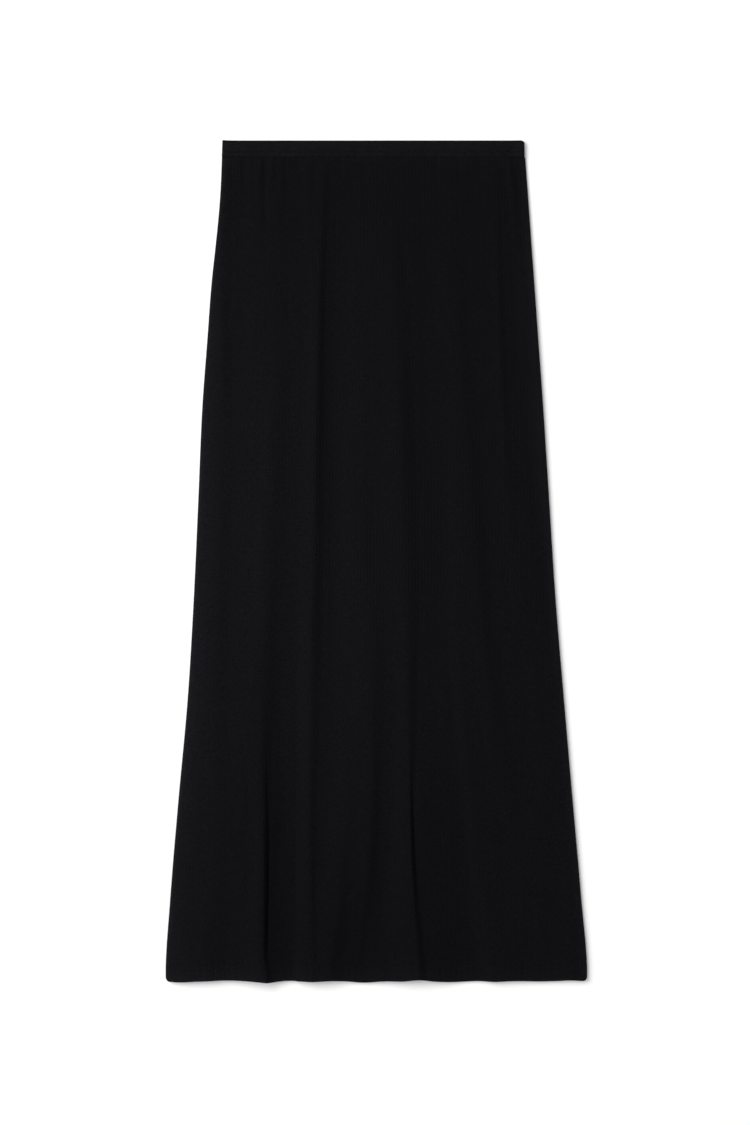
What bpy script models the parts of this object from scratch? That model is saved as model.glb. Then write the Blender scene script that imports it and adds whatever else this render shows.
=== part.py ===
"""An A-line midi skirt in fine black rib jersey, laid flat on a surface.

Metres, +Z up, the waist towards +Y, the front panel on top. The origin is under the middle of the
garment, on the surface that it lies on. The back panel lies flat, the front panel lies on it in soft
lengthwise folds and rolls down to it at the side seams, and an elastic waistband closes the top.
"""

from collections import namedtuple

import bpy
import numpy as np

MM = 0.001

# Driving dimensions of the garment as it lies
LENGTH = 0.9229  # waist edge to hem edge
HEM_HALF_WIDTH = 0.2316
BAND_DEPTH = 0.0185  # waist edge to the lower edge of the waistband
HEM_DEPTH = 0.020  # turned hem, two layers of cloth
CLOTH = 0.0010  # wall of one layer
HEM_LAYER = 0.0007  # what the turned layer adds inside the hem
BAND_WALL = 0.0022  # cloth, elastic and cloth
SEAM_GAP = 0.0003  # between neighbouring pieces
LEFT_ROLL = 0.0050  # how far in from each side the front panel starts to roll down
RIGHT_ROLL = 0.0045
LEFT_SLOPE_REACH = 0.027  # the gentler slope inside the left roll
LEFT_SLOPE_DROP = 0.0015
CORNER_RADIUS = 0.0045  # at the two ends of the hem
STEEPEST_WALL = 2.2  # the most that a steep fold thickens the wall, measured straight up

# The outline of the garment, by distance down from the waist edge
Station = namedtuple("Station", "down left right")
OUTLINE = (
    Station(0.0000, -0.1694, 0.1628),
    Station(0.0220, -0.1700, 0.1640),
    Station(0.0650, -0.1720, 0.1671),
    Station(0.1090, -0.1761, 0.1702),
    Station(0.1530, -0.1809, 0.1734),
    Station(0.2200, -0.1860, 0.1782),
    Station(0.2850, -0.1909, 0.1829),
    Station(0.3950, -0.1958, 0.1900),
    Station(0.5050, -0.2009, 0.1971),
    Station(0.6150, -0.2076, 0.2063),
    Station(0.7250, -0.2177, 0.2158),
    Station(0.8350, -0.2268, 0.2255),
    Station(0.9110, -HEM_HALF_WIDTH, HEM_HALF_WIDTH),
    Station(LENGTH, -HEM_HALF_WIDTH, HEM_HALF_WIDTH),
)

# How high the top of the front panel lies between its folds, at its left, middle and right
Level = namedtuple("Level", "down left middle right")
LEVELS = (
    Level(0.015, 0.0047, 0.0047, 0.0047),
    Level(0.080, 0.0054, 0.0054, 0.0054),
    Level(0.200, 0.0060, 0.0063, 0.0060),
    Level(0.450, 0.0062, 0.0066, 0.0060),
    Level(0.580, 0.0064, 0.0072, 0.0060),
    Level(0.670, 0.0068, 0.0088, 0.0060),
    Level(0.740, 0.0072, 0.0097, 0.0060),
    Level(0.830, 0.0072, 0.0094, 0.0058),
    Level(0.923, 0.0070, 0.0083, 0.0058),
)
LEFT_FALLS = (-0.13, -0.22)  # where the level changes to its left side's
RIGHT_FALLS = (0.05, 0.20)

# A fold is a crest that drops to a trough. It drops on its right where side is 1 and on its left
# where side is -1. across, crest, trough and drop (half the drop's width) are in millimetres, at the
# distances down in FOLD_STATIONS. soft is the share of the drop that ends softly, over tail more
# millimetres; rise and run are how far the crest and the trough reach.
FOLD_STATIONS = (0.020, 0.170, 0.320, 0.470, 0.620, 0.770, 0.920)
Fold = namedtuple("Fold", "name side across crest trough drop soft tail rise run")
FOLDS = (
    Fold("left_rim_crease", 1,
         (-161.5, -165.7, -162.6, -167, -170.1, -168.3, -176.2),
         (2.4, 1.5, 0.7, 1, 2.5, 1.9, 2.7),
         (0.8, 1.7, 1.7, 1.6, 0.3, 0.3, 1.6),
         (6.9, 8.5, 8.1, 8, 9.9, 12, 12), 0.27, 11, 42, 29),
    Fold("left_flute", 1,
         (-103.5, -103.3, -103.6, -111, -119.3, -120, -122.1),
         (0, 0.8, 1.8, 2.4, 1.7, 3.8, 4.8),
         (1.4, 0, 0.3, 0.7, 2.8, 3.3, 0.3),
         (4.2, 8, 10, 10, 8.2, 4.1, 2.6), 0.37, 9, 19, 66),
    Fold("long_crease", 1,
         (-53.2, -59.2, -61.7, -64, -66.7, -69.6, -66.7),
         (0, 0.3, 1.9, 2.1, 2, 2.7, 3.1),
         (1.5, 4.4, 4, 4.1, 3.3, 0.8, 0),
         (4.6, 4.6, 5.4, 7.1, 6.7, 4.6, 3.7), 0.49, 14, 18, 39),
    Fold("middle_flute", 1,
         (15.5, 28.3, 34.5, 39.3, 40.1, 39.9, 51.6),
         (0.9, 2.9, 4.5, 4.7, 4.2, 4.6, 5.1),
         (0, 0.6, 1, 0.7, 1.2, 0.5, 0),
         (8, 9.6, 9.9, 9.6, 6.8, 2.6, 4.9), 0.23, 22, 36, 35),
    Fold("inner_ripple", 1,
         (0.3, -0.3, 0.9, 3.5, 2.6, -2.3, -20.7),
         (0.1, 0.1, 0.2, 0.5, 2.8, 3.6, 0.8),
         (0, 0.1, 0.6, 1.6, 2.6, 3.5, 2.5),
         (3.3, 4.1, 5.2, 6.7, 7.4, 6.6, 6.3), 0.65, 14, 23, 32),
    Fold("hem_ripple", 1,
         (-15.6, -14.3, -11.8, -9.7, -14.7, -28.8, -45.2),
         (0, 0, 0.4, 0.8, 0.9, 1.8, 3.5),
         (1.3, 1.1, 0.5, 0.2, 0, 1.1, 4.1),
         (6.2, 5.7, 5.1, 4.8, 5.1, 6.4, 9.4), 0.64, 14, 24, 34),
    Fold("right_flute", 1,
         (89.9, 94.8, 105.1, 115.7, 134.7, 155.3, 162.8),
         (0.7, 1.5, 1.4, 2.5, 1.9, 0, 0),
         (0, 1, 1.5, 1.3, 1.4, 0.1, 0),
         (8.3, 8.6, 9, 8.9, 9.3, 9.4, 9.3), 0.25, 28, 26, 22),
    Fold("hip_crease", 1,
         (133.6, 136.7, 143.6, 154, 161.1, 164, 169),
         (0, 1.1, 1.2, 1.3, 0.6, 0.5, 0),
         (0.2, 2.7, 3.2, 0.5, 0, 0, 0.1),
         (3.4, 4.5, 5.6, 6.4, 6.7, 6.8, 6.6), 0.52, 23, 28, 19),
    Fold("hip_side_crease", 1,
         (151.6, 161.5, 165.3, 177.6, 184.1, 182.8, 183.2),
         (1.5, 0.3, 0.3, 0.1, 0, 0, 0),
         (0.4, 0.5, 1.1, 1, 0, 0, 0.5),
         (4.4, 4.2, 5.1, 6, 6.9, 6.9, 6.7), 0.28, 3, 8, 9),
    Fold("left_ridge", -1,
         (-80.8, -72.6, -71.9, -72.8, -82.2, -84.1, -88.2),
         (0.9, 0.9, 1.3, 0.7, 0, 0.4, 0.5),
         (0, 0, 0, 0, 2.5, 4.9, 3.2),
         (3.8, 5, 6.5, 7, 6.5, 3.5, 2.3), 0.04, 2, 28, 27),
    Fold("right_ridge", -1,
         (80.9, 79.3, 79.3, 82.3, 88.6, 104.5, 119.7),
         (0, 0, 0.4, 0.4, 1.2, 0.2, 0),
         (0, 0, 0, 1, 1.2, 2.5, 5.2),
         (9.7, 9.4, 9.1, 8.7, 7, 7, 11.2), 0.48, 2, 21, 44),
    Fold("upper_left_flute", 1,
         (-125.1, -126, -129.3, -132.4, -134.9, -132.8, -124.5),
         (0, 0, 0.4, 0.3, 0.4, 2.5, 4),
         (2.3, 0, 0, 0, 1.7, 0.9, 0.3),
         (3.5, 6.4, 9.4, 11.8, 12, 11.6, 10.3), 0.51, 29, 46, 39),
)

# Small gathers that the elastic pulls in under the waistband
Gather = namedtuple("Gather", "across drift length depth half_width")
GATHERS = (
    Gather(-0.147, 0.000, 0.060, 0.0006, 0.0045),
    Gather(-0.124, 0.001, 0.100, 0.0008, 0.0045),
    Gather(-0.107, 0.004, 0.080, 0.0005, 0.0040),
    Gather(-0.088, 0.002, 0.050, 0.0004, 0.0040),
    Gather(-0.066, -0.002, 0.045, 0.0004, 0.0040),
    Gather(-0.039, 0.000, 0.035, 0.0004, 0.0040),
    Gather(-0.012, 0.001, 0.035, 0.0003, 0.0045),
    Gather(0.042, 0.001, 0.035, 0.0003, 0.0045),
    Gather(0.066, -0.001, 0.035, 0.0003, 0.0045),
    Gather(0.090, 0.002, 0.040, 0.0005, 0.0045),
    Gather(0.114, 0.002, 0.110, 0.0005, 0.0055),
    Gather(0.150, 0.012, 0.120, 0.0007, 0.0050),
)

# Rows of the mesh, closer together where the gathers and the hem are
ROWS_DOWN = (
    0.0188, 0.026, 0.036, 0.050, 0.068, 0.090, 0.115, 0.145, 0.180, 0.220, 0.262, 0.306, 0.352,
    0.400, 0.450, 0.500, 0.550, 0.598, 0.644, 0.688, 0.728, 0.766, 0.800, 0.832, 0.860, 0.884,
    0.9005, 0.9045, 0.9155, LENGTH,
)
ROLL_COLUMNS = 5

# Columns of the mesh: some follow the creases, at offsets that widen towards the hem, and others
# stand between them, as many as before says
MAIN_OFFSETS = (-0.010, -0.006, -0.003, 0.0, 0.003, 0.006, 0.010)
RIPPLE_OFFSETS = (-0.007, -0.0035, 0.0, 0.0035, 0.007)
OFFSETS_AT_WAIST = 0.45
Crease = namedtuple("Crease", "fold before offsets")
CREASES = (
    Crease("left_flute", 8, MAIN_OFFSETS),
    Crease("long_crease", 5, MAIN_OFFSETS),
    Crease("hem_ripple", 3, RIPPLE_OFFSETS),
    Crease("inner_ripple", 1, RIPPLE_OFFSETS),
    Crease("middle_flute", 5, MAIN_OFFSETS),
    Crease("right_flute", 9, RIPPLE_OFFSETS),
)
COLUMNS_AFTER = 10

# The back panel's and the waistband's own shape
BACK_COLUMNS = 13
BACK_EDGE_ROUND = 0.0012
BAND_END_LIFT = 0.0009  # the elastic stands up a little in its two end loops
BAND_END_REACH = 0.014
BAND_RUN_COLUMNS = 22
BAND_ARC_POINTS = 5
BAND_TOP_ROUND = 0.0010
BAND_CORNER_RADIUS = 0.0045

BLACK_JERSEY = (0.0065, 0.0065, 0.0075, 1.0)
JERSEY_ROUGHNESS = 0.88
BLACK_BAND = (0.0080, 0.0080, 0.0090, 1.0)
BAND_ROUGHNESS = 0.80


def smooth_through(knots, values):
    """A function that passes smoothly through the values at the knots."""
    knots = np.asarray(knots, float)
    values = np.asarray(values, float)
    slopes = np.gradient(values, knots)

    def at(where):
        where = np.clip(np.asarray(where, float), knots[0], knots[-1])
        i = np.clip(np.searchsorted(knots, where) - 1, 0, len(knots) - 2)
        span = knots[i + 1] - knots[i]
        t = (where - knots[i]) / span
        return (
            values[i] * (1 + 2 * t) * (1 - t) ** 2
            + values[i + 1] * t * t * (3 - 2 * t)
            + slopes[i] * span * t * (1 - t) ** 2
            + slopes[i + 1] * span * t * t * (t - 1)
        )

    return at


def ease(t):
    """0 before 0, 1 after 1, and a smooth turn between them."""
    t = np.clip(t, 0.0, 1.0)
    return t * t * (3 - 2 * t)


LEFT_SIDE = smooth_through([s.down for s in OUTLINE], [s.left for s in OUTLINE])
RIGHT_SIDE = smooth_through([s.down for s in OUTLINE], [s.right for s in OUTLINE])
LEVEL_LEFT = smooth_through([s.down for s in LEVELS], [s.left for s in LEVELS])
LEVEL_MIDDLE = smooth_through([s.down for s in LEVELS], [s.middle for s in LEVELS])
LEVEL_RIGHT = smooth_through([s.down for s in LEVELS], [s.right for s in LEVELS])
FOLD_LINES = {fold.name: smooth_through(FOLD_STATIONS, fold.across) for fold in FOLDS}


def wall(down):
    """The cloth's thickness: one layer, and more inside the turned hem."""
    return CLOTH + HEM_LAYER * ease((down - (LENGTH - HEM_DEPTH - 0.002)) / 0.003)


def level_height(x, down):
    """The height that the folds rise and fall from."""
    middle = LEVEL_MIDDLE(down)
    to_left = ease((x - LEFT_FALLS[0]) / (LEFT_FALLS[1] - LEFT_FALLS[0]))
    to_right = ease((x - RIGHT_FALLS[0]) / (RIGHT_FALLS[1] - RIGHT_FALLS[0]))
    return middle + (LEVEL_LEFT(down) - middle) * to_left + (LEVEL_RIGHT(down) - middle) * to_right


def fold_height(fold, x, down):
    """What one fold adds to the front panel."""
    line, crest, trough, drop = (
        smooth_through(FOLD_STATIONS, values)(down) * MM
        for values in (fold.across, fold.crest, fold.trough, fold.drop)
    )
    crest = np.maximum(crest, 0)
    trough = np.maximum(trough, 0)
    drop = np.maximum(drop, 1.2 * MM)
    tail, rise, run = fold.tail * MM, fold.rise * MM, fold.run * MM
    t = fold.side * (x - line)
    rising = crest * ease((t + drop + rise) / rise)
    sharp = ease((t + drop) / (2 * drop))
    soft = ease((t + drop) / (2 * drop + tail))
    falling = (crest + trough) * (sharp + (soft - sharp) * fold.soft)
    recovering = trough * ease((t - drop - tail / 2) / run)
    return rising - falling + recovering


def gather_height(gather, x, down):
    """What one small gather under the waistband takes off the front panel."""
    t = np.clip((down - BAND_DEPTH) / gather.length, 0, 1)
    away = (x - gather.across - gather.drift * t) / gather.half_width
    return -gather.depth * (1 - ease(t)) * np.exp(-away * away)


def quarter_round(inside, reach):
    """How far a quarter round has risen at a distance inside its edge: 0 to 1."""
    t = np.clip(1 - inside / reach, 0, 1)
    return np.sqrt(1 - t * t)


def front_top(x, down):
    """The height of the front panel's outer face inside its side rolls."""
    relief = -LEFT_SLOPE_DROP * (1 - quarter_round(x - LEFT_SIDE(down), LEFT_SLOPE_REACH))
    for fold in FOLDS:
        relief = relief + fold_height(fold, x, down)
    height = level_height(x, down) + relief * ease((down - BAND_DEPTH + 0.006) / 0.026)
    for gather in GATHERS:
        height = height + gather_height(gather, x, down)
    lowest = 2 * wall(down) + SEAM_GAP
    return lowest + np.logaddexp(0, (height - lowest) / 0.0004) * 0.0004


def front_columns(down):
    """x of the front panel's columns between its side rolls: close together at the main creases."""
    left = LEFT_SIDE(down) + LEFT_ROLL
    right = RIGHT_SIDE(down) - RIGHT_ROLL
    widened = OFFSETS_AT_WAIST + (1 - OFFSETS_AT_WAIST) * down / LENGTH
    columns = [left]
    for crease in CREASES:
        line = FOLD_LINES[crease.fold](down) * MM
        first = line + crease.offsets[0] * widened
        columns += list(np.linspace(columns[-1], first, crease.before + 2)[1:-1])
        columns += [line + offset * widened for offset in crease.offsets]
    columns += list(np.linspace(columns[-1], right, COLUMNS_AFTER + 2)[1:])
    return np.array(columns)


def rounded_corner(x, down):
    """How far up the hem's edge is drawn at its two rounded corners."""
    inside = np.minimum(x - LEFT_SIDE(down), RIGHT_SIDE(down) - x)
    t = np.clip(1 - inside / CORNER_RADIUS, 0, 1)
    return CORNER_RADIUS * (1 - np.sqrt(1 - t * t))


def points(x, down, z):
    """A row of points, from their places across, down from the waist and up."""
    return np.stack([x, LENGTH / 2 - down, z], axis=-1)


def front_row(down, is_hem):
    """The outer and the inner face of the front panel at one distance down."""
    angles = np.linspace(0, np.pi / 2, ROLL_COLUMNS + 1)[:-1]
    middle = front_columns(down)
    thick = wall(down)
    seam = thick + SEAM_GAP
    top = front_top(middle, down)
    slope = np.gradient(top, middle)
    steep = np.minimum(np.sqrt(1 + slope * slope), STEEPEST_WALL)
    under = np.maximum(top - thick * steep, seam)
    rows = []
    for depth, heights in ((0.0, top), (thick, under)):
        left = LEFT_SIDE(down) + depth + (LEFT_ROLL - depth) * (1 - np.cos(angles))
        right = RIGHT_SIDE(down) - depth - (RIGHT_ROLL - depth) * (1 - np.cos(angles))
        left_z = seam + (front_top(left, down) - depth - seam) * np.sin(angles)
        right_z = seam + (front_top(right, down) - depth - seam) * np.sin(angles)
        x = np.concatenate([left, middle, right[::-1]])
        z = np.concatenate([left_z, heights, right_z[::-1]])
        downs = np.full_like(x, down)
        if is_hem:
            downs = downs - rounded_corner(x, down)
        rows.append(points(x, downs, z))
    return rows


def back_row(down, is_hem):
    """The upper and the lower face of the back panel at one distance down: its underside is flat."""
    left, right = LEFT_SIDE(down), RIGHT_SIDE(down)
    thick = wall(down)
    half = BACK_EDGE_ROUND / 2
    middle = np.linspace(left + 2 * BACK_EDGE_ROUND, right - 2 * BACK_EDGE_ROUND, BACK_COLUMNS)
    upper_x = np.concatenate([[left, left + half], middle, [right - half, right]])
    upper_z = np.full_like(upper_x, thick)
    upper_z[[0, -1]] = 0.65 * CLOTH
    edge_x = (left + half / 2, left + BACK_EDGE_ROUND, right - BACK_EDGE_ROUND, right - half / 2)
    lower_x = np.concatenate([edge_x[:2], middle, edge_x[2:]])
    lower_z = np.zeros_like(lower_x)
    lower_z[[0, -1]] = 0.25 * CLOTH
    rows = []
    for x, z in ((upper_x, upper_z), (lower_x, lower_z)):
        downs = np.full_like(x, down)
        if is_hem:
            downs = downs - rounded_corner(x, down)
        rows.append(points(x, downs, z))
    return rows


def quads(rows, columns, first, flip):
    """The faces of a grid of rows and columns whose points start at first."""
    faces = []
    for r in range(rows - 1):
        for c in range(columns - 1):
            a = first + r * columns + c
            face = (a, a + columns, a + columns + 1, a + 1)
            faces.append(face[::-1] if flip else face)
    return faces


def walls_round(rows, columns, second):
    """The faces that join the borders of two grids of one size: the first at 0, the other at second."""
    top = [(0, c) for c in range(columns)]
    right = [(r, columns - 1) for r in range(1, rows)]
    bottom = [(rows - 1, c) for c in range(columns - 2, -1, -1)]
    left = [(r, 0) for r in range(rows - 2, 0, -1)]
    border = [r * columns + c for r, c in top + right + bottom + left]
    after = border[1:] + border[:1]
    return [(a, b, second + b, second + a) for a, b in zip(border, after)]


def cloth_wall(name, row_of, material):
    """A closed wall of cloth from its outer and inner faces, row by row down the garment."""
    made = [row_of(down, down == ROWS_DOWN[-1]) for down in ROWS_DOWN]
    outer = np.array([row[0] for row in made])
    inner = np.array([row[1] for row in made])
    rows, columns = outer.shape[:2]
    second = rows * columns
    vertices = np.concatenate([outer.reshape(-1, 3), inner.reshape(-1, 3)])
    faces = quads(rows, columns, 0, False) + quads(rows, columns, second, True)
    faces += walls_round(rows, columns, second)
    return add_object(name, vertices, faces, material)


def band_loop():
    """The waistband's middle line seen from the hem: points across and up, and outward normals."""
    left = LEFT_SIDE(0.0)
    right = RIGHT_SIDE(0.0)
    half = BAND_WALL / 2
    radius = (BAND_WALL + SEAM_GAP + BAND_END_LIFT) / 2
    run = np.linspace(left + half + radius, right - half - radius, BAND_RUN_COLUMNS)
    to_end = np.minimum(run - run[0], run[-1] - run)
    lift = BAND_END_LIFT * (1 - ease(to_end / BAND_END_REACH))
    front = [(x, half + BAND_WALL + SEAM_GAP + up, 0.0, 1.0) for x, up in zip(run, lift)]
    back = [(x, half, 0.0, -1.0) for x in run[::-1]]
    turns = np.linspace(0, np.pi, BAND_ARC_POINTS + 2)[1:-1]
    middle = half + radius
    arcs = []
    for x, side in ((run[-1], 1.0), (run[0], -1.0)):
        turned = [(side * np.sin(t), side * np.cos(t)) for t in turns]
        arcs.append([(x + radius * nx, middle + radius * nz, nx, nz) for nx, nz in turned])
    return front + arcs[0] + back + arcs[1]


def waistband(material):
    """The elastic waistband: one flattened loop with a rounded top edge."""
    half = BAND_WALL / 2
    bend = BAND_TOP_ROUND
    section = (
        (-half, BAND_DEPTH),
        (half, BAND_DEPTH),
        (half, bend),
        (0.6 * half, 0.25 * bend),
        (0.0, 0.0),
        (-0.6 * half, 0.25 * bend),
        (-half, bend),
    )
    loop = band_loop()
    right_end = RIGHT_SIDE(0.0)
    vertices = []
    for x, z, nx, nz in loop:
        t = np.clip(1 - (right_end - x) / BAND_CORNER_RADIUS, 0, 1)
        corner = BAND_CORNER_RADIUS * (1 - np.sqrt(1 - t * t))
        for out, down in section:
            eased = corner * (1 - down / BAND_DEPTH)
            vertices.append((x + out * nx, LENGTH / 2 - down - eased, z + out * nz))
    around = len(loop)
    size = len(section)
    faces = []
    for i in range(around):
        for k in range(size):
            a = i * size + k
            b = i * size + (k + 1) % size
            c = ((i + 1) % around) * size + (k + 1) % size
            d = ((i + 1) % around) * size + k
            faces.append((a, d, c, b))
    return add_object("waistband", vertices, faces, material)


def cloth_material(name, colour, roughness):
    """A plain finish for one kind of cloth."""
    material = bpy.data.materials.new(name)
    material.use_nodes = True
    shader = material.node_tree.nodes["Principled BSDF"]
    shader.inputs["Base Color"].default_value = colour
    shader.inputs["Roughness"].default_value = roughness
    shader.inputs["Metallic"].default_value = 0.0
    return material


def add_object(name, vertices, faces, material):
    """A smooth-shaded mesh object in the scene."""
    mesh = bpy.data.meshes.new(name)
    mesh.from_pydata([tuple(map(float, v)) for v in vertices], [], faces)
    mesh.validate()
    mesh.shade_smooth()
    mesh.set_sharp_from_angle(angle=np.radians(50))
    mesh.materials.append(material)
    piece = bpy.data.objects.new(name, mesh)
    bpy.context.scene.collection.objects.link(piece)
    return piece


def main():
    for old in list(bpy.data.objects):
        bpy.data.objects.remove(old)
    jersey = cloth_material("black_jersey", BLACK_JERSEY, JERSEY_ROUGHNESS)
    band = cloth_material("black_band", BLACK_BAND, BAND_ROUGHNESS)
    cloth_wall("front_panel", front_row, jersey)
    cloth_wall("back_panel", back_row, jersey)
    waistband(band)


main()
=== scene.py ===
import math
from collections import namedtuple

import bmesh
import bpy
import numpy as np
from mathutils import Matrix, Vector


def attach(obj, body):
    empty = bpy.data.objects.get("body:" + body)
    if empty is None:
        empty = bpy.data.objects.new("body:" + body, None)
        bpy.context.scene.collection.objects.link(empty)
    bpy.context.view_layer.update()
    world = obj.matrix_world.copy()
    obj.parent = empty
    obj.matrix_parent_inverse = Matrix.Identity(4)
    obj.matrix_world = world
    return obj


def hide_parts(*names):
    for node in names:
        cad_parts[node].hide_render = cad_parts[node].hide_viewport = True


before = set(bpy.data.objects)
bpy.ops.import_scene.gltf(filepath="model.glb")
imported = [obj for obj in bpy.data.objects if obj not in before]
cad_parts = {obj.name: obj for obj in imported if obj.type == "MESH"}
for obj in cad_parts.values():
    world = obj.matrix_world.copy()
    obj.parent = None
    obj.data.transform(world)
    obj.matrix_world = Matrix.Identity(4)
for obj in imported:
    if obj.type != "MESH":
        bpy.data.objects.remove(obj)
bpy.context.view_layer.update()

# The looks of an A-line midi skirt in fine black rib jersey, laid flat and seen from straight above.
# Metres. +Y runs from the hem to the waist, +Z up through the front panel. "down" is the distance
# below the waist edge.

MM = 0.001

# Sizes that the frame was made from
LENGTH = 0.9229
BAND_DEPTH = 0.0185
HEM_DEPTH = 0.020
CLOTH = 0.0010
HEM_LAYER = 0.0007  # what the turned layer adds inside the hem
BAND_WALL = 0.0022
SEAM_GAP = 0.0003
LEFT_ROLL = 0.0050  # how far in from each side the front panel starts to roll down
RIGHT_ROLL = 0.0045
LEFT_SLOPE_REACH = 0.027  # the gentler slope inside the left roll
LEFT_SLOPE_DROP = 0.0015
CORNER_RADIUS = 0.0045
BAND_END_LIFT = 0.0009
BAND_END_REACH = 0.014
BAND_CORNER_RADIUS = 0.0045
LEAST_DROP = 0.0012  # half the width of a fold's drop is never less
SETTLING = 0.0004  # how softly the front panel comes to rest on the back one
FOLDS_START = 0.006  # this far above the waistband's lower edge the folds begin to rise
FOLDS_REACH = 0.026  # and they are at their full height this much further down

# Sizes that only the looks have
HALF_HEM = 0.23  # about half the hem's width, for shades that change across
HALF_LENGTH = 0.46
SEAM_SHOWS = 0.0001  # how far below the waistband the panels start
CORNER_REACH = 0.008  # how far up the hem's corners are drawn in
BACK_EDGE_ROUND = 0.0006  # how the back panel's sides are rounded
BACK_EDGE_DROP = 0.0003
LEFT_CORNER_RADIUS = 0.0022
BACK_PEEK = 0.0011  # how far the band's back layer shows past its front one at the left end
BACK_PEEK_REACH = 0.030
LEFT_FLARE = 0.0007  # how much further the band's ends reach at its lower edge
RIGHT_FLARE = 0.0004
FLARE_REACH = 0.030

# The skirt's left and right side at distances down
Station = namedtuple("Station", "down left right")
OUTLINE = (
    Station(0.0000, -0.1694, 0.1628),
    Station(0.0220, -0.1700, 0.1640),
    Station(0.0650, -0.1720, 0.1671),
    Station(0.1090, -0.1761, 0.1702),
    Station(0.1530, -0.1809, 0.1734),
    Station(0.2200, -0.1860, 0.1782),
    Station(0.2850, -0.1909, 0.1829),
    Station(0.3950, -0.1958, 0.1900),
    Station(0.5050, -0.2009, 0.1971),
    Station(0.6150, -0.2076, 0.2063),
    Station(0.7250, -0.2177, 0.2158),
    Station(0.8350, -0.2268, 0.2255),
    Station(0.9110, -0.2316, 0.2316),
    Station(0.9229, -0.2316, 0.2316),
)

# How high the top of the front panel lies between its folds, at its left, middle and right
Level = namedtuple("Level", "down left middle right")
LEVELS = (
    Level(0.015, 0.0047, 0.0047, 0.0047),
    Level(0.080, 0.0054, 0.0054, 0.0054),
    Level(0.200, 0.0060, 0.0063, 0.0060),
    Level(0.450, 0.0062, 0.0066, 0.0060),
    Level(0.580, 0.0064, 0.0072, 0.0060),
    Level(0.670, 0.0068, 0.0088, 0.0060),
    Level(0.740, 0.0072, 0.0097, 0.0060),
    Level(0.830, 0.0072, 0.0094, 0.0058),
    Level(0.923, 0.0070, 0.0083, 0.0058),
)
LEFT_FALLS = (-0.13, -0.22)  # where the level changes to its left side's
RIGHT_FALLS = (0.05, 0.20)

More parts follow.
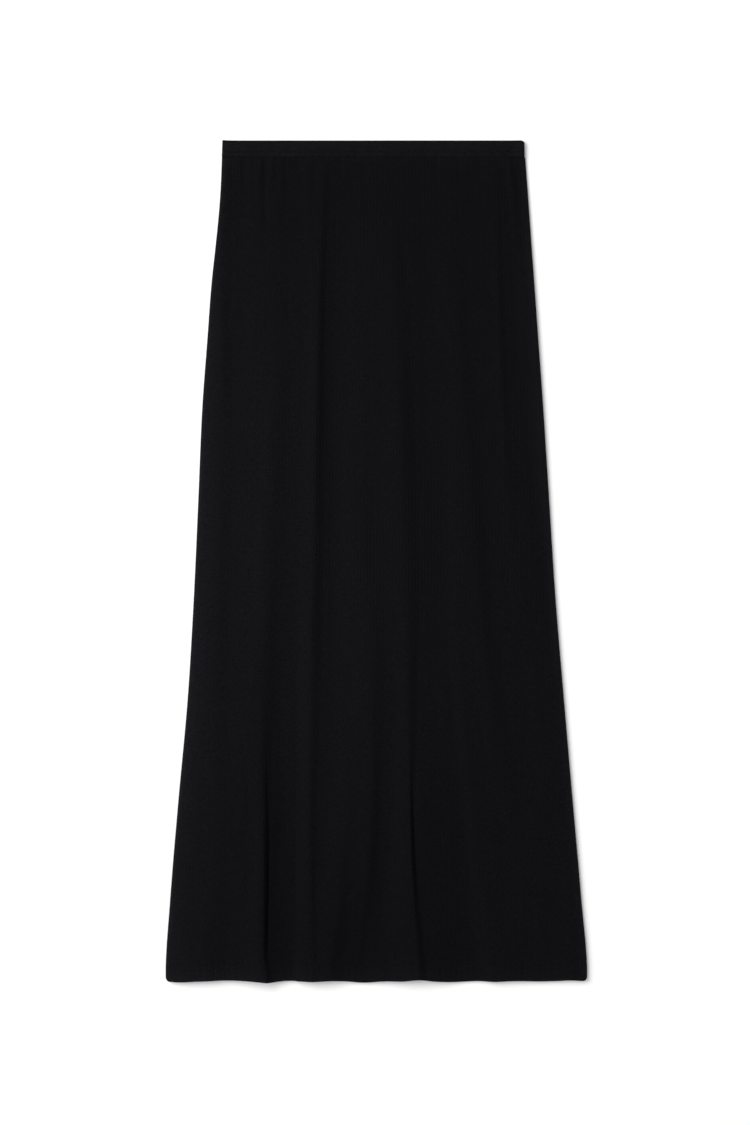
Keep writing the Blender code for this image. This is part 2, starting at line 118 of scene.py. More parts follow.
# A fold is a crest that drops to a trough. It drops on its right where side is 1 and on its left
# where side is -1. across, crest, trough and drop (half the drop's width) are in millimetres, at the
# distances down in FOLD_STATIONS. soft is the share of the drop that ends softly, over tail more
# millimetres; rise and run are how far the crest and the trough reach.
FOLD_STATIONS = (0.020, 0.170, 0.320, 0.470, 0.620, 0.770, 0.920)
Fold = namedtuple("Fold", "name side across crest trough drop soft tail rise run")
FOLDS = (
    Fold("left_rim_crease", 1,
         (-161.5, -165.7, -162.6, -167, -170.1, -168.3, -176.2),
         (2.4, 1.5, 0.7, 1, 2.5, 1.9, 2.7),
         (0.8, 1.7, 1.7, 1.6, 0.3, 0.3, 1.6),
         (6.9, 8.5, 8.1, 8, 9.9, 12, 12), 0.27, 11, 42, 29),
    Fold("left_flute", 1,
         (-103.5, -103.3, -103.6, -111, -119.3, -120, -122.1),
         (0, 0.8, 1.8, 2.4, 1.7, 3.8, 4.8),
         (1.4, 0, 0.3, 0.7, 2.8, 3.3, 0.3),
         (4.2, 8, 10, 10, 8.2, 4.1, 2.6), 0.37, 9, 19, 66),
    Fold("long_crease", 1,
         (-53.2, -59.2, -61.7, -64, -66.7, -69.6, -66.7),
         (0, 0.3, 1.9, 2.1, 2, 2.7, 3.1),
         (1.5, 4.4, 4, 4.1, 3.3, 0.8, 0),
         (4.6, 4.6, 5.4, 7.1, 6.7, 4.6, 3.7), 0.49, 14, 18, 39),
    Fold("middle_flute", 1,
         (15.5, 28.3, 34.5, 39.3, 40.1, 39.9, 51.6),
         (0.9, 2.9, 4.5, 4.7, 4.2, 4.6, 5.1),
         (0, 0.6, 1, 0.7, 1.2, 0.5, 0),
         (8, 9.6, 9.9, 9.6, 6.8, 2.6, 4.9), 0.23, 22, 36, 35),
    Fold("inner_ripple", 1,
         (0.3, -0.3, 0.9, 3.5, 2.6, -2.3, -20.7),
         (0.1, 0.1, 0.2, 0.5, 2.8, 3.6, 0.8),
         (0, 0.1, 0.6, 1.6, 2.6, 3.5, 2.5),
         (3.3, 4.1, 5.2, 6.7, 7.4, 6.6, 6.3), 0.65, 14, 23, 32),
    Fold("hem_ripple", 1,
         (-15.6, -14.3, -11.8, -9.7, -14.7, -28.8, -45.2),
         (0, 0, 0.4, 0.8, 0.9, 1.8, 3.5),
         (1.3, 1.1, 0.5, 0.2, 0, 1.1, 4.1),
         (6.2, 5.7, 5.1, 4.8, 5.1, 6.4, 9.4), 0.64, 14, 24, 34),
    Fold("right_flute", 1,
         (89.9, 94.8, 105.1, 115.7, 134.7, 155.3, 162.8),
         (0.7, 1.5, 1.4, 2.5, 1.9, 0, 0),
         (0, 1, 1.5, 1.3, 1.4, 0.1, 0),
         (8.3, 8.6, 9, 8.9, 9.3, 9.4, 9.3), 0.25, 28, 26, 22),
    Fold("hip_crease", 1,
         (133.6, 136.7, 143.6, 154, 161.1, 164, 169),
         (0, 1.1, 1.2, 1.3, 0.6, 0.5, 0),
         (0.2, 2.7, 3.2, 0.5, 0, 0, 0.1),
         (3.4, 4.5, 5.6, 6.4, 6.7, 6.8, 6.6), 0.52, 23, 28, 19),
    Fold("hip_side_crease", 1,
         (151.6, 161.5, 165.3, 177.6, 184.1, 182.8, 183.2),
         (1.5, 0.3, 0.3, 0.1, 0, 0, 0),
         (0.4, 0.5, 1.1, 1, 0, 0, 0.5),
         (4.4, 4.2, 5.1, 6, 6.9, 6.9, 6.7), 0.28, 3, 8, 9),
    Fold("left_ridge", -1,
         (-80.8, -72.6, -71.9, -72.8, -82.2, -84.1, -88.2),
         (0.4, 0.4, 1.0, 0.6, 0.1, 0.4, 0.5),
         (0, 0, 0, 0, 2.5, 4.9, 3.2),
         (3.8, 5, 6.5, 7, 6.5, 3.5, 2.3), 0.04, 2, 28, 27),
    Fold("right_ridge", -1,
         (80.9, 79.3, 79.3, 82.3, 88.6, 104.5, 119.7),
         (0, 0, 0.4, 0.7, 1.5, 0.2, 0),
         (0, 0, 0, 1, 1.2, 2.5, 5.2),
         (9.7, 9.4, 9.1, 8.7, 7, 7, 11.2), 0.48, 2, 21, 44),
    Fold("upper_left_flute", 1,
         (-125.1, -126, -129.3, -132.4, -134.9, -132.8, -124.5),
         (0, 0, 0.4, 0.3, 0.4, 2.5, 4),
         (2.3, 0, 0, 0, 1.7, 0.9, 0.3),
         (3.5, 6.4, 9.4, 11.8, 12, 11.6, 10.3), 0.51, 29, 46, 39),
)

# Where a fold's foot is nipped into a narrow groove
Nip = namedtuple("Nip", "fold offset starts full fades ends depth half_width")
NIPS = (
    Nip("left_flute", 0.0009, 0.66, 0.82, 0.865, 0.905, 0.0045, 0.0012),
    Nip("middle_flute", 0.0004, 0.67, 0.77, 0.790, 0.860, 0.0028, 0.0012),
)
NIP_ROOM = 0.0060  # how much wider the groove's inner face is
FOOT_SHIFT = 0.0034  # how far the left flute's foot turns to the right at the hem
FOOT_PLACE = -0.120
FOOT_HALF_WIDTH = 0.013
FOOT_TURNS = 0.034  # this far from the hem it starts to turn
FOOT_TURN_REACH = 0.022

# Where the hem hangs lower or is drawn up, in millimetres
Dip = namedtuple("Dip", "across half_width drop")
DIPS = (
    Dip(-218, 16, 1.3),
    Dip(-158, 26, -0.9),
    Dip(-116, 8, 1.2),
    Dip(-52, 10, -0.7),
    Dip(-14, 16, 2.1),
    Dip(46, 12, -2.1),
    Dip(86, 22, 1.3),
    Dip(129, 13, 0.9),
    Dip(180, 18, 0.6),
    Dip(212, 9, -0.6),
)
DIP_REACH = 0.070  # how far up from the hem they reach

# Small gathers that the elastic pulls in under the waistband
Gather = namedtuple("Gather", "across drift length depth half_width")
GATHERS = (
    Gather(-0.145, 0.000, 0.070, 0.0007, 0.0030),
    Gather(-0.122, 0.000, 0.120, 0.0011, 0.0036),
    Gather(-0.110, 0.000, 0.060, 0.0006, 0.0026),
    Gather(-0.100, 0.003, 0.065, 0.0005, 0.0026),
    Gather(-0.086, 0.001, 0.060, 0.0005, 0.0028),
    Gather(-0.066, -0.002, 0.045, 0.0005, 0.0028),
    Gather(-0.039, 0.000, 0.035, 0.0004, 0.0028),
    Gather(-0.012, 0.001, 0.035, 0.0003, 0.0035),
    Gather(0.042, 0.001, 0.035, 0.0003, 0.0035),
    Gather(0.066, -0.001, 0.035, 0.0003, 0.0035),
    Gather(0.090, 0.002, 0.040, 0.0005, 0.0035),
    Gather(0.114, 0.002, 0.110, 0.0006, 0.0045),
    Gather(0.150, 0.012, 0.120, 0.0008, 0.0040),
)

# Slow waves that leave no stretch of the cloth quite even: wavelengths across and along
Wave = namedtuple("Wave", "across along height phase")
WAVES = (
    Wave(0.092, 0.61, 0.00022, 5.2),
    Wave(0.061, 0.41, 0.00018, 2.1),
    Wave(0.038, 0.26, 0.00012, 0.4),
    Wave(0.023, 0.17, 0.00006, 1.2),
    Wave(0.016, 0.12, 0.00003, 4.0),
)
WAVE_HALF_WIDTH = 0.2  # the half of the skirt's width that the wavelengths across are for
WAVE_BEND = 1.2  # how far the waves wander to the side, as an angle

# The knit's ribs
RIB_PITCH = 0.0035
RIB_HEIGHT = 0.00026
RIB_PAINTED_SHADE = 0.16  # painted light and shade on the ribs: how much darker the cloth is drawn between full ribs than on them
RIB_WANDER = 0.0004  # to the side and back
RIB_WANDER_LENGTH = 0.37
RIB_PATCHINESS = 0.12
COLUMNS_PER_RIB = 6

# How deep the ribs are down the skirt, at its left, middle and right: shallow where it is stretched
RibDepth = namedtuple("RibDepth", "down left middle right")
RIB_DEPTHS = (
    RibDepth(0.02, 0.70, 0.70, 0.68),
    RibDepth(0.15, 0.58, 0.80, 0.58),
    RibDepth(0.35, 0.40, 1.10, 0.74),
    RibDepth(0.55, 0.42, 0.85, 0.62),
    RibDepth(0.68, 0.42, 0.42, 0.36),
    RibDepth(0.85, 0.58, 0.28, 0.18),
)
MIDDLE_STARTS = -0.16  # where the depth begins to change from the left's to the middle's
RIGHT_STARTS = -0.02  # and from the middle's to the right's
RIB_CHANGE = 0.14  # over this much of the width

# Painted highlight: the cloth is drawn paler along its edges, for the glow and sheen that the light gives
# them there: by how much at each edge, and how far in that reaches
EdgeHighlight = namedtuple("EdgeHighlight", "amount reach")
LEFT_HIGHLIGHT = EdgeHighlight(0.60, 0.0095)
LEFT_HIGHLIGHT_GROWTH = 0.35  # more of it in the lower half, from a distance down and over a reach
GROWTH_STARTS = 0.58
GROWTH_REACH = 0.25
RIGHT_HIGHLIGHT = EdgeHighlight(1.8, 0.0034)
WAIST_TOP_HIGHLIGHT = EdgeHighlight(0.40, 0.0072)
BELOW_BAND_PAINTED_LIGHT = EdgeHighlight(0.29, 0.0105)  # painted light: paler just below the waistband
HEM_HIGHLIGHT = EdgeHighlight(0.88, 0.0100)
HEM_HIGHLIGHT_TURN = 0.40  # more of it to the left
HEM_STRIP_HIGHLIGHT = 0.12  # painted highlight between the hem's rows of stitches
HEM_STRIP_HALF_WIDTH = 0.0010
BAND_END_HIGHLIGHT_SHARE = 0.5  # the waistband's ends get less of the painted edge highlight than the panels' sides

# Painted light: the jersey is drawn a little paler to the left and halfway down, where more light falls:
# the shares, by the powers of the places across and down, both from -1 to 1
PAINTED_LIGHT_SLOPES = (
    (0.078, 0, 0),
    (-0.172, 1, 0),
    (0.196, 2, 0),
    (-0.306, 0, 2),
    (0.045, 0, 3),
    (0.180, 1, 2),
)

# Painted light and shade: stretches of the cloth drawn a little paler where the folds catch light and
# darker where they lose it, in metres, and by how much
ShadePatch = namedtuple("ShadePatch", "across down half_width half_length amount")
PAINTED_SHADE_PATCHES = (
    ShadePatch(-0.140, 0.655, 0.035, 0.130, -0.07),
    ShadePatch(-0.020, 0.545, 0.050, 0.160, 0.06),
    ShadePatch(0.151, 0.840, 0.045, 0.070, 0.08),
    ShadePatch(-0.012, 0.105, 0.035, 0.035, 0.05),
    ShadePatch(-0.073, 0.060, 0.014, 0.040, -0.06),
    ShadePatch(0.074, 0.750, 0.030, 0.060, -0.09),
    ShadePatch(-0.028, 0.866, 0.025, 0.060, -0.09),
    ShadePatch(-0.165, 0.750, 0.045, 0.040, -0.06),
    ShadePatch(-0.213, 0.885, 0.016, 0.035, 0.10),
    ShadePatch(0.062, 0.905, 0.012, 0.025, -0.12),
)

# Rows of twin-needle stitches, as distances from the waist edge and from the hem edge
WAIST_ROWS = (0.0127, 0.0177)
HEM_ROWS = (0.0124, 0.0174)
BETWEEN_WAIST_ROWS = 0.0152
BETWEEN_HEM_ROWS = 0.0149
STITCH_PITCH = 0.0031
HEM_STITCH = 0.0018  # a stitch's length
WAIST_STITCH = 0.0015
THREAD_RADIUS = 0.00024
THREAD_STANDS = 0.00006  # how far a thread's middle lies outside the cloth
STITCH_SPREAD = 0.07  # how much the stitches differ in tilt, as an angle, and in size
STITCH_GROOVE = 0.00030
WAIST_GROOVE = 0.00008
GROOVE_HALF_WIDTH = 0.0009
DENT_DEPTH = 0.00018  # the hollow that each stitch of the waistband pulls
DENT_HALF_LENGTH = 0.00075
DENT_HALF_WIDTH = 0.00080

# Fine upright puckers at the hem: each is a wave whose phase swings to and fro along the hem
Pucker = namedtuple("Pucker", "length height swing swing_length")
PUCKERS = (
    Pucker(0.0071, 0.00008, 2.0, 0.083),
    Pucker(0.0039, 0.00004, 1.7, 0.047),
)
PUCKERS_START = 0.024  # from the hem's edge
PUCKERS_FADE = 0.010

# The waistband's surface
CASING_DEPTH = 0.0115  # the smooth part over the elastic, above the stitched strip
BAND_SINK = 0.00012  # how far the cloth lies inside its solid

# The panels' meshes: columns along the sides and on the inner face, rows round the hem's edge
EDGE_STEPS = np.array([0.0, 0.04, 0.13, 0.3, 0.6, 1.0, 1.5, 2.1]) * MM
INNER_COLUMN = 0.0060
GRID_HALF_WIDTH = 0.24
UPPER_REACH = 0.042  # below the waistband, where the rows are closer together
UPPER_ROWS = 20
MIDDLE_ROWS = 58
HEM_ROW_STEP = 0.00105
HEM_REACH = 0.0265  # the rows are that close this far from the hem's edge
BAND_COLUMNS = 700
SAME_PLACE = 1e-9  # points that are no further apart than this are one
HEM_ROUND_STEPS = np.array([1.0, 0.75, 0.45, 0.2, 0.0])


def smooth_through(knots, values):
    """A function that passes smoothly through the values at the knots."""
    knots = np.asarray(knots, float)
    values = np.asarray(values, float)
    slopes = np.gradient(values, knots)

    def at(where):
        where = np.clip(np.asarray(where, float), knots[0], knots[-1])
        i = np.clip(np.searchsorted(knots, where) - 1, 0, len(knots) - 2)
        span = knots[i + 1] - knots[i]
        t = (where - knots[i]) / span
        return (
            values[i] * (1 + 2 * t) * (1 - t) ** 2
            + values[i + 1] * t * t * (3 - 2 * t)
            + slopes[i] * span * t * (1 - t) ** 2
            + slopes[i + 1] * span * t * t * (t - 1)
        )

    return at


def column(table, name):
    """A function that passes smoothly down one column of a table."""
    return smooth_through([row.down for row in table], [getattr(row, name) for row in table])


def ease(t):
    """0 before 0, 1 after 1, and a smooth turn between them."""
    t = np.clip(t, 0.0, 1.0)
    return t * t * (3 - 2 * t)


def hill(away):
    """1 where away is 0, falling smoothly to 0 on both sides."""
    return np.exp(-away * away)


def sine(place, length, phase=0.0):
    """A wave of the given length, between -1 and 1."""
    return np.sin(2 * math.pi * place / length + phase)


def quarter_round(inside, reach):
    """How far a quarter round has risen at a distance inside its edge: 0 to 1."""
    t = np.clip(1 - inside / reach, 0, 1)
    return np.sqrt(1 - t * t)


LEFT_SIDE = column(OUTLINE, "left")
RIGHT_SIDE = column(OUTLINE, "right")
BAND_LEFT = float(LEFT_SIDE(0.0))
BAND_RIGHT = float(RIGHT_SIDE(0.0))
LEVEL_LEFT, LEVEL_MIDDLE, LEVEL_RIGHT = (column(LEVELS, side) for side in ("left", "middle", "right"))
RIB_LEFT, RIB_MIDDLE, RIB_RIGHT = (column(RIB_DEPTHS, side) for side in ("left", "middle", "right"))


def from_side(x, down):
    """The distance from the nearer side of the skirt."""
    return np.minimum(x - LEFT_SIDE(down), RIGHT_SIDE(down) - x)


def wall(down):
    """The cloth's thickness: one layer, and more inside the turned hem."""
    return CLOTH + HEM_LAYER * ease((down - (LENGTH - HEM_DEPTH - 0.002)) / 0.003)


def level_height(x, down):
    """The height that the folds rise and fall from."""
    middle = LEVEL_MIDDLE(down)
    to_left = ease((x - LEFT_FALLS[0]) / (LEFT_FALLS[1] - LEFT_FALLS[0]))
    to_right = ease((x - RIGHT_FALLS[0]) / (RIGHT_FALLS[1] - RIGHT_FALLS[0]))
    return middle + (LEVEL_LEFT(down) - middle) * to_left + (LEVEL_RIGHT(down) - middle) * to_right


def fold_height(fold, x, down):
    """What one fold adds to the front panel."""
    line, crest, trough, drop = (
        smooth_through(FOLD_STATIONS, values)(down) * MM
        for values in (fold.across, fold.crest, fold.trough, fold.drop)
    )
    crest = np.maximum(crest, 0)
    trough = np.maximum(trough, 0)
    drop = np.maximum(drop, LEAST_DROP)
    tail, rise, run = fold.tail * MM, fold.rise * MM, fold.run * MM
    t = fold.side * (x - line)
    rising = crest * ease((t + drop + rise) / rise)
    sharp = ease((t + drop) / (2 * drop))
    soft = ease((t + drop) / (2 * drop + tail))
    falling = (crest + trough) * (sharp + (soft - sharp) * fold.soft)
    recovering = trough * ease((t - drop - tail / 2) / run)
    return rising - falling + recovering


def nip_height(nip, x, down, room):
    """What the groove at one fold's foot takes off the front panel, with some room at its sides."""
    fold = next(f for f in FOLDS if f.name == nip.fold)
    line = smooth_through(FOLD_STATIONS, fold.across)(down) * MM + nip.offset
    strength = ease((down - nip.starts) / (nip.full - nip.starts))
    strength = strength * (1 - ease((down - nip.fades) / (nip.ends - nip.fades)))
    return -nip.depth * strength * hill((x - line) / (nip.half_width + room))


def hem_dips(x, down):
    """How much lower the cloth hangs where the hem is uneven."""
    total = sum(dip.drop * MM * hill((x / MM - dip.across) / dip.half_width) for dip in DIPS)
    return total * ease((down - (LENGTH - DIP_REACH)) / DIP_REACH)


def gather_height(gather, x, down):
    """What one small gather under the waistband takes off the front panel."""
    t = np.clip((down - BAND_DEPTH) / gather.length, 0, 1)
    away = (x - gather.across - gather.drift * t) / gather.half_width
    return -gather.depth * (1 - ease(t)) * hill(away)


def unevenness(x, down):
    """The slow waves, which follow the flare of the skirt."""
    middle = (LEFT_SIDE(down) + RIGHT_SIDE(down)) / 2
    half = (RIGHT_SIDE(down) - LEFT_SIDE(down)) / 2
    flared = (x - middle) / half * WAVE_HALF_WIDTH
    total = 0.0
    for wave in WAVES:
        bend = WAVE_BEND * sine(down, wave.along, wave.phase)
        total = total + wave.height * sine(flared, wave.across, wave.phase + bend)
    return total


def rib_turn(x, down):
    """The angle along the knit's ribs: they follow the grain, straight but for a little wander."""
    wander = RIB_WANDER * sine(down, RIB_WANDER_LENGTH, 9 * x)
    return 2 * math.pi * (x + wander) / RIB_PITCH


def rib_strength(x, down):
    """How deep the ribs are at a place, from the table and a little patchiness."""
    left, middle, right = RIB_LEFT(down), RIB_MIDDLE(down), RIB_RIGHT(down)
    depth = left + (middle - left) * ease((x - MIDDLE_STARTS) / RIB_CHANGE)
    depth = depth + (right - middle) * ease((x - RIGHT_STARTS) / RIB_CHANGE)
    return depth + RIB_PATCHINESS * sine(x, 0.21, 1.4) * sine(down, 0.53, 0.7 + 6 * x)


def ribs(x, down):
    """The height of the knit's ribs, from 0 downwards."""
    turn = rib_turn(x, down)
    return RIB_HEIGHT * rib_strength(x, down) * (0.5 * np.cos(turn) + 0.12 * np.cos(2 * turn) - 0.62)


def edge_highlight(distance, painted_light_term):
    """How much the painted highlight pales the cloth at a distance from one of its edges."""
    return painted_light_term.amount * np.exp(-np.maximum(distance, 0) / painted_light_term.reach)


def painted_light_of_place(x, down):
    """Painted light: the slow change of the jersey's brightness over the skirt, paler where more light
    falls.
    """
    across = x / HALF_HEM
    along = (down - HALF_LENGTH) / HALF_LENGTH
    return np.exp(sum(share * across**i * along**k for share, i, k in PAINTED_LIGHT_SLOPES))


def panel_painted_light(x, down):
    """How pale a panel's cloth is drawn: painted highlight along its edges and between the hem's rows,
    painted light and shade over the skirt, and painted shade between the ribs.
    """
    lower_half = ease((down - GROWTH_STARTS) / GROWTH_REACH)
    painted_light = edge_highlight(x - LEFT_SIDE(down), LEFT_HIGHLIGHT) * (1 + LEFT_HIGHLIGHT_GROWTH * lower_half)
    painted_light = painted_light + edge_highlight(RIGHT_SIDE(down) - x, RIGHT_HIGHLIGHT)
    painted_light = painted_light + edge_highlight(down - BAND_DEPTH, BELOW_BAND_PAINTED_LIGHT)
    painted_light = painted_light + edge_highlight(LENGTH - down, HEM_HIGHLIGHT) * (1 - HEM_HIGHLIGHT_TURN * x / HALF_HEM)
    for patch in PAINTED_SHADE_PATCHES:
        across = (x - patch.across) / patch.half_width
        along = (down - patch.down) / patch.half_length
        painted_light = painted_light + patch.amount * hill(across) * hill(along)
    # painted highlight between the hem's rows of stitches
    strip = hill((LENGTH - down - BETWEEN_HEM_ROWS) / HEM_STRIP_HALF_WIDTH)
    painted_light = painted_light + HEM_STRIP_HIGHLIGHT * strip * (0.5 + 0.5 * sine(x, 0.103, 1.2))
    # painted light and shade: paler on the ribs' crowns, darker between them
    crown = 0.5 * RIB_PAINTED_SHADE * rib_strength(x, down) * np.cos(rib_turn(x, down))
    return (1 + painted_light) * (1 + crown) * painted_light_of_place(x, down)


def row_grooves(from_edge, rows, depth):
    """The shallow grooves that rows of stitches pull into the cloth."""
    return -depth * sum(hill((from_edge - row) / GROOVE_HALF_WIDTH) for row in rows)


def hem_puckers(x, down):
    """Fine upright puckers between the hem's stitches and its edge."""
    near = ease((down - (LENGTH - PUCKERS_START)) / 0.004)
    near = near * (1 - 0.5 * ease((down - (LENGTH - PUCKERS_FADE)) / 0.008))
    return near * sum(p.height * sine(x, p.length, p.swing * sine(x, p.swing_length)) for p in PUCKERS)


def front_level(x, down, room):
    """The height of the front panel before its sides roll down, with some room in its grooves."""
    turning = ease((down - (LENGTH - FOOT_TURNS)) / FOOT_TURN_REACH)
    x = x - FOOT_SHIFT * turning * hill((x - FOOT_PLACE) / FOOT_HALF_WIDTH)
    relief = unevenness(x, down)
    for fold in FOLDS:
        relief = relief + fold_height(fold, x, down)
    for nip in NIPS:
        relief = relief + nip_height(nip, x, down, room)
    relief = relief - LEFT_SLOPE_DROP * (1 - quarter_round(x - LEFT_SIDE(down), LEFT_SLOPE_REACH))
    height = level_height(x, down) + relief * ease((down - BAND_DEPTH + FOLDS_START) / FOLDS_REACH)
    for gather in GATHERS:
        height = height + gather_height(gather, x, down)
    lowest = 2 * wall(down) + SEAM_GAP
    return lowest + np.logaddexp(0, (height - lowest) / SETTLING) * SETTLING


def front_height(x, down, depth):
    """The height of the front panel at a depth inside its wall, its rolled sides included."""
    left = quarter_round(x - LEFT_SIDE(down) - depth, LEFT_ROLL - depth)
    right = quarter_round(RIGHT_SIDE(down) - x - depth, RIGHT_ROLL - depth)
    seam = wall(down) + SEAM_GAP
    level = front_level(x, down, NIP_ROOM * (depth > 0)) - depth
    return seam + (level - seam) * left * right


def hem_round(down):
    """How deep into its wall the cloth's two faces are drawn where the hem's edge is rounded."""
    half = wall(down) / 2
    return half * (1 - quarter_round(LENGTH - down, half))


def corner_pull(x, down):
    """How far up the hem is drawn at its rounded corners."""
    pull = CORNER_RADIUS * (1 - quarter_round(from_side(x, down), CORNER_RADIUS))
    return pull * ease((down - (LENGTH - CORNER_REACH)) / CORNER_REACH)


def row_places():
    """The rows of a panel's mesh, close together under the waistband and at the hem."""
    top = BAND_DEPTH + SEAM_SHOWS + UPPER_REACH * np.linspace(0, 1, UPPER_ROWS) ** 1.5
    middle = np.linspace(top[-1], LENGTH - HEM_REACH - MM, MIDDLE_ROWS)[1:]
    hem = np.arange(LENGTH - HEM_REACH, LENGTH - 1.5 * MM, HEM_ROW_STEP)
    rounding = LENGTH - (CLOTH + HEM_LAYER) / 2 * HEM_ROUND_STEPS
    return np.concatenate([top, middle, hem, rounding])


def columns(downs, spacing, steps):
    """x of each row's points: at fixed places, so that ribs run straight, and some along the sides."""
    left = LEFT_SIDE(downs)[:, None]
    right = RIGHT_SIDE(downs)[:, None]
    reach = steps[-1]
    count = math.ceil(GRID_HALF_WIDTH / spacing)
    fixed = np.arange(-count, count + 1) * spacing
    middle = np.clip(fixed[None, :], left + reach, right - reach)
    return np.concatenate([left + steps, middle, right - steps[::-1]], axis=1)


def numbered(x, first):
    """Vertex numbers for a grid whose repeated points in a row are one vertex, and which are kept."""
    kept = np.ones(x.shape, bool)
    kept[:, 1:] = np.abs(np.diff(x, axis=1)) > SAME_PLACE
    numbers = first + np.cumsum(kept.ravel()).reshape(x.shape) - 1
    return numbers, kept


def grid_faces(numbers):
    """The faces of a grid, triangles where two of a face's corners are one vertex."""
    a = numbers[:-1, :-1].ravel()
    b = numbers[1:, :-1].ravel()
    c = numbers[1:, 1:].ravel()
    d = numbers[:-1, 1:].ravel()
    whole = (a != d) & (b != c)
    upper = (a != d) & (b == c)
    lower = (a == d) & (b != c)
    faces = np.stack([a, b, c, d], 1)[whole].tolist()
    faces += np.stack([a, b, d], 1)[upper].tolist()
    faces += np.stack([a, b, c], 1)[lower].tolist()
    return faces


def zipped(one, one_x, other, other_x):
    """Triangles between two lines of vertices that run side by side."""
    faces = []
    i = j = 0
    while i < len(one) - 1 or j < len(other) - 1:
        if j == len(other) - 1 or (i < len(one) - 1 and one_x[i + 1] <= other_x[j + 1]):
            faces.append([one[i], one[i + 1], other[j]])
            i += 1
        else:
            faces.append([one[i], other[j + 1], other[j]])
            j += 1
    return faces


def turn_outward(mesh):
    """Makes all faces of a closed mesh face outward."""
    work = bmesh.new()
    work.from_mesh(mesh)
    bmesh.ops.recalc_face_normals(work, faces=work.faces)
    work.to_mesh(mesh)
    work.free()


def add_object(name, vertices, faces, painted_light_and_tones=None):
    """A smooth-shaded mesh object that rides on the skirt's one body."""
    mesh = bpy.data.meshes.new(name)
    mesh.from_pydata(vertices.tolist(), [], [[int(v) for v in face] for face in faces])
    mesh.validate()
    turn_outward(mesh)
    if painted_light_and_tones is not None:
        mesh.attributes.new("painted_light_and_tone", "FLOAT", "POINT").data.foreach_set("value", painted_light_and_tones.astype(np.float32))
    mesh.shade_smooth()
    piece = bpy.data.objects.new(name, mesh)
    bpy.context.scene.collection.objects.link(piece)
    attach(piece, "root")
    return piece


def panel(name, fine_height, coarse_height, coarse_inset):
    """A closed shell of cloth: a finely ribbed face that shows and a plain one inside."""
    downs = row_places()
    vertices = []
    painted_light_and_tones = []
    faces = []
    borders = []
    count = 0
    for spacing, steps, height in (
        (RIB_PITCH / COLUMNS_PER_RIB, EDGE_STEPS, fine_height),
        (INNER_COLUMN, EDGE_STEPS + coarse_inset, coarse_height),
    ):
        x = columns(downs, spacing, steps)
        down = np.repeat(downs[:, None], x.shape[1], axis=1)
        numbers, kept = numbered(x, count)
        z = height(x, down)
        y = LENGTH / 2 - down + corner_pull(x, down) - hem_dips(x, down)
        vertices.append(np.stack([x[kept], y[kept], z[kept]], 1))
        painted_light_and_tones.append(panel_painted_light(x, down)[kept])
        count += int(kept.sum())
        faces += grid_faces(numbers)
        borders.append((numbers, x))
    (fine, _), (coarse, _) = borders
    for side in (0, -1):
        for r in range(len(downs) - 1):
            faces.append([fine[r, side], fine[r + 1, side], coarse[r + 1, side], coarse[r, side]])
        chains = []
        for numbers, x in borders:
            chain, where = np.unique(numbers[side], return_index=True)
            chains += [chain.tolist(), x[side][where]]
        faces += zipped(*chains)
    return add_object(name, np.concatenate(vertices), faces, np.concatenate(painted_light_and_tones))


# The two panels, each with an outer face and an inner one
def front_fine(x, down):
    """The height of the front panel's outer face."""
    fine = ribs(x, down) + row_grooves(LENGTH - down, HEM_ROWS, STITCH_GROOVE) + hem_puckers(x, down)
    return front_height(x, down, hem_round(down)) + fine * ease(from_side(x, down) / 0.002)


def front_coarse(x, down):
    """The height of the front panel's inner face."""
    return front_height(x, down, wall(down) - hem_round(down))


def back_edge(x, down):
    """How far the back panel's two faces are drawn together at its rounded sides."""
    return BACK_EDGE_DROP * (1 - quarter_round(from_side(x, down), BACK_EDGE_ROUND))


def back_fine(x, down):
    """The height of the back panel's outer face, which lies on the surface."""
    fine = -ribs(x, down) - row_grooves(LENGTH - down, HEM_ROWS, STITCH_GROOVE)
    return hem_round(down) + back_edge(x, down) + fine * ease(from_side(x, down) / 0.001)


def back_coarse(x, down):
    """The height of the back panel's inner face."""
    return wall(down) - hem_round(down) - back_edge(x, down)


front_cloth = panel("front_panel_cloth", front_fine, front_coarse, CLOTH)
back_cloth = panel("back_panel_cloth", back_fine, back_coarse, 0.0)


# The waistband: one flattened loop
def band_line():
    """Points along the middle of the waistband's wall, seen from the hem: x, z, outward normal."""
    half = BAND_WALL / 2
    radius = (BAND_WALL + SEAM_GAP + BAND_END_LIFT) / 2
    run = np.linspace(BAND_LEFT + half + radius, BAND_RIGHT - half - radius, BAND_COLUMNS)
    to_end = np.minimum(run - run[0], run[-1] - run)
    lift = BAND_END_LIFT * (1 - ease(to_end / BAND_END_REACH))
    zero, one = np.zeros_like(run), np.ones_like(run)
    front = np.stack([run, half + BAND_WALL + SEAM_GAP + lift, zero, one], 1)
    back = np.stack([run[::-1], zero + half, zero, -one], 1)
    turns = np.linspace(0, math.pi, 12)[1:-1]
    arcs = []
    for x, side in ((run[-1], 1.0), (run[0], -1.0)):
        nx, nz = side * np.sin(turns), side * np.cos(turns)
        arcs.append(np.stack([x + radius * nx, half + radius + radius * nz, nx, nz], 1))
    return np.concatenate([front, arcs[0], back, arcs[1]])


def stitch_dents(x, down):
    """1 where a stitch of the waistband's rows pulls the cloth in, 0 away from them."""
    from_stitch = (np.mod(x / STITCH_PITCH, 1.0) - 0.5) * STITCH_PITCH
    uneven = 0.62 + 0.38 * np.sin(2.9 * np.floor(x / STITCH_PITCH))
    rows = sum(hill((down - row) / DENT_HALF_WIDTH) for row in WAIST_ROWS)
    return uneven * hill(from_stitch / DENT_HALF_LENGTH) * rows


